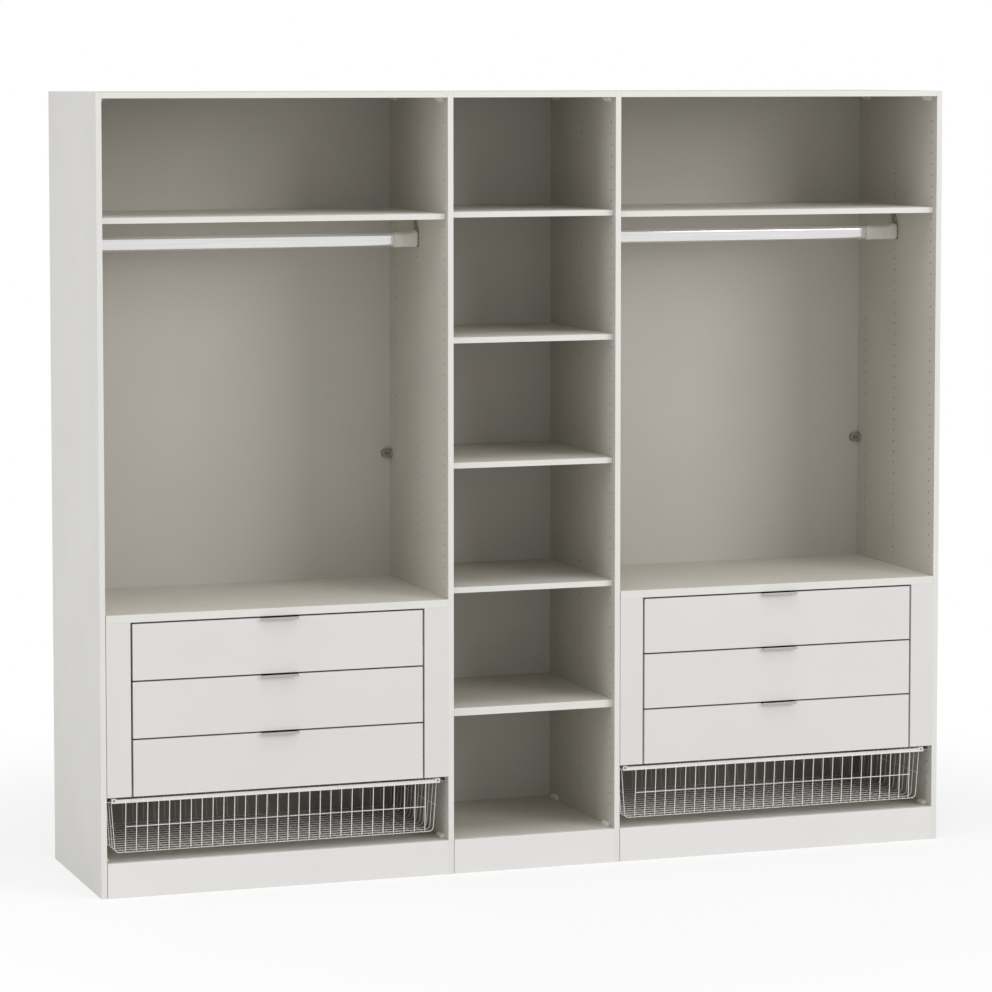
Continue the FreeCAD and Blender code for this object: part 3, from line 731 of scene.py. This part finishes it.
def connectorSpots():
    low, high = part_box("corner_connectors")
    corner = (fittings["connectorSize"] + fittings["connectorNose"]) / 2
    starts = (low.y, high.y - fittings["connectorLength"])
    walls = []
    for bay in ("left", "centre", "right"):
        backLow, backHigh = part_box(f"{bay}_back_panel")
        walls += [(backLow.x, 1), (backHigh.x, -1)]
    spots = []
    for x, inward in walls:
        for z, up in ((low.z, 1), (high.z, -1)):
            for start in starts:
                for along in fittings["connectorEnds"]:
                    spots.append(((x + inward * corner, start + along, z + up * corner), (inward, 0, up)))
    return spots


def clampSpots():
    low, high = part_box("back_panel_clamps")
    middle = (low.z + high.z) / 2
    across, face = fittings["clampAcross"], fittings["clampFace"]
    spots = []
    for side in wideBays:
        backLow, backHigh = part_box(f"{side}_back_panel")
        for x, inward in ((backLow.x, 1), (backHigh.x, -1)):
            spots.append(((x + inward * across, backLow.y - face, middle), (0, -1, 0)))
            spots.append(((x + inward * face, backLow.y - across, middle), (inward, 0, 0)))
    return spots


def bracketSpots():
    plate = railBracket["plate"]
    spots = []
    for side in wideBays:
        railLow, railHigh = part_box(f"{side}_hanging_rail")
        plateLow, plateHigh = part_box(f"{side}_rail_brackets")
        axis = (railLow + railHigh) / 2
        for x, inward in ((plateLow.x + plate, 1), (plateHigh.x - plate, -1)):
            for y, z in railBracket["screws"]:
                spots.append(((x, axis.y + y, axis.z + z), (inward, 0, 0)))
    return spots


def runnerSpots():
    reach = fittings["runnerGap"] - fittings["runnerSteel"]
    steel = fittings["basketSteel"]
    spots = []
    for side in wideBays:
        for number in (1, 2, 3):
            boxLow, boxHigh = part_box(f"{side}_drawer_{number}_box")
            for x, inward in ((boxLow.x - reach, 1), (boxHigh.x + reach, -1)):
                for along in fittings["runnerScrews"]:
                    spots.append(((x, boxLow.y + along, boxLow.z + fittings["runnerRise"]), (inward, 0, 0)))
        low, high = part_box(f"{side}_chest_sides")
        rimLow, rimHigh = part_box(f"{side}_basket_rim")
        for x, inward in ((low.x + steel, 1), (high.x - steel, -1)):
            for along in fittings["basketScrews"]:
                spots.append(((x, rimLow.y + along, rimLow.z + fittings["basketRise"]), (inward, 0, 0)))
    return spots


makeScrews("connectorScrews", connectorSpots(), "carcass", "white_plastic")
makeScrews("clampScrews", clampSpots(), "carcass", "dark_plastic")
# the bracket screws are grey as painted shade, like the arm plate they sit on
makeScrews("bracketScrews", bracketSpots(), "carcass", "grey_plastic")
makeScrews("runnerScrews", runnerSpots(), "carcass", "steel_pin")
bpy.data.objects.remove(screwShape)
print("screws done")


# floor, lights and camera

studioFloor = {
    "size": 30.0, "drop": 0.0005, "light": (0.865, 0.865, 0.86), "dark": (0.855, 0.855, 0.85), "mottle": 0.6,
    "rough": 0.9, "whiteNear": 0.72, "fade": (1.4, 2.6),
}
worldLight = 0.60
lamps = {
    "rightFront": {"place": (8.0, -11.0, 5.7), "size": 6.0, "power": 600.0},
    "leftSide": {"place": (-6.0, -0.5, 2.2), "size": 3.0, "power": 113.0},
    "overhead": {"place": (0.0, -1.2, 6.0), "size": 3.0, "power": 98.0},
}
lampAim = Vector((0, 0, 1.1))
photoCamera = {
    "place": (-3.6331, -10.3443, 2.2656), "yaw": 19.262, "pitch": 4.333,
    "lens": 138.427, "sensor": 36, "shift": -0.14, "farthest": 100,
}


def addSeen(tree):
    # 1 for rays from the camera, straight or mirrored
    path = tree.nodes.new("ShaderNodeLightPath")
    mirrored = addMath(tree, "MAXIMUM", path.outputs["Is Glossy Ray"], path.outputs["Is Transmission Ray"])
    return addMath(tree, "MAXIMUM", path.outputs["Is Camera Ray"], mirrored)


def makeFloor():
    values = studioFloor
    shape = bmesh.new()
    bmesh.ops.create_grid(shape, x_segments=2, y_segments=2, size=values["size"])
    floor = newPiece("studioFloor", meshFrom("studioFloor", shape))
    floor.location.z = -values["drop"]
    look, tree, shader, place = newLook("studioFloor")
    mottle = addNoise(tree, place, values["mottle"])
    tree.links.new(addRamp(tree, mottle, values["dark"], values["light"]), shader.inputs["Base Color"])
    shader.inputs["Roughness"].default_value = values["rough"]
    shader.inputs["Specular IOR Level"].default_value = 0.0
    # white towards the camera further out, with the shadow kept near the object
    reach = tree.nodes.new("ShaderNodeVectorMath")
    reach.operation = "LENGTH"
    tree.links.new(place, reach.inputs[0])
    fade = tree.nodes.new("ShaderNodeMapRange")
    fade.interpolation_type = "SMOOTHSTEP"
    fade.inputs["From Min"].default_value, fade.inputs["From Max"].default_value = values["fade"]
    fade.inputs["To Min"].default_value = values["whiteNear"]
    tree.links.new(reach.outputs["Value"], fade.inputs["Value"])
    share = addMath(tree, "MULTIPLY", fade.outputs["Result"], addSeen(tree))
    white = tree.nodes.new("ShaderNodeEmission")
    choose = tree.nodes.new("ShaderNodeMixShader")
    tree.links.new(share, choose.inputs["Fac"])
    tree.links.new(shader.outputs["BSDF"], choose.inputs[1])
    tree.links.new(white.outputs["Emission"], choose.inputs[2])
    tree.links.new(choose.outputs["Shader"], tree.nodes["Material Output"].inputs["Surface"])
    floor.data.materials.append(look)


def makeWorld():
    world = bpy.data.worlds.new("studio")
    bpy.context.scene.world = world
    world.use_nodes = True
    tree = world.node_tree
    background = tree.nodes["Background"]
    background.inputs["Color"].default_value = (1, 1, 1, 1)
    background.inputs["Strength"].default_value = worldLight
    white = tree.nodes.new("ShaderNodeBackground")
    white.inputs["Color"].default_value = (1, 1, 1, 1)
    choose = tree.nodes.new("ShaderNodeMixShader")
    tree.links.new(addSeen(tree), choose.inputs["Fac"])
    tree.links.new(background.outputs["Background"], choose.inputs[1])
    tree.links.new(white.outputs["Background"], choose.inputs[2])
    tree.links.new(choose.outputs["Shader"], tree.nodes["World Output"].inputs["Surface"])


def makeLamp(name, values):
    data = bpy.data.lights.new(name, "AREA")
    data.shape = "SQUARE"
    data.size = values["size"]
    data.energy = values["power"]
    lamp = newPiece(name, data)
    lamp.location = values["place"]
    lamp.rotation_euler = (lampAim - lamp.location).to_track_quat("-Z", "Y").to_euler()


def makeCamera():
    values = photoCamera
    data = bpy.data.cameras.new("photoCamera")
    data.sensor_width = values["sensor"]
    data.lens = values["lens"]
    data.shift_y = values["shift"]
    data.clip_end = values["farthest"]
    camera = newPiece("photoCamera", data)
    camera.location = values["place"]
    camera.rotation_euler = (math.radians(90 - values["pitch"]), 0, math.radians(-values["yaw"]))
    bpy.context.scene.camera = camera


makeFloor()
makeWorld()
for name, values in lamps.items():
    makeLamp(name, values)
makeCamera()
bpy.context.scene.view_settings.view_transform = "Standard"
print("studio done")
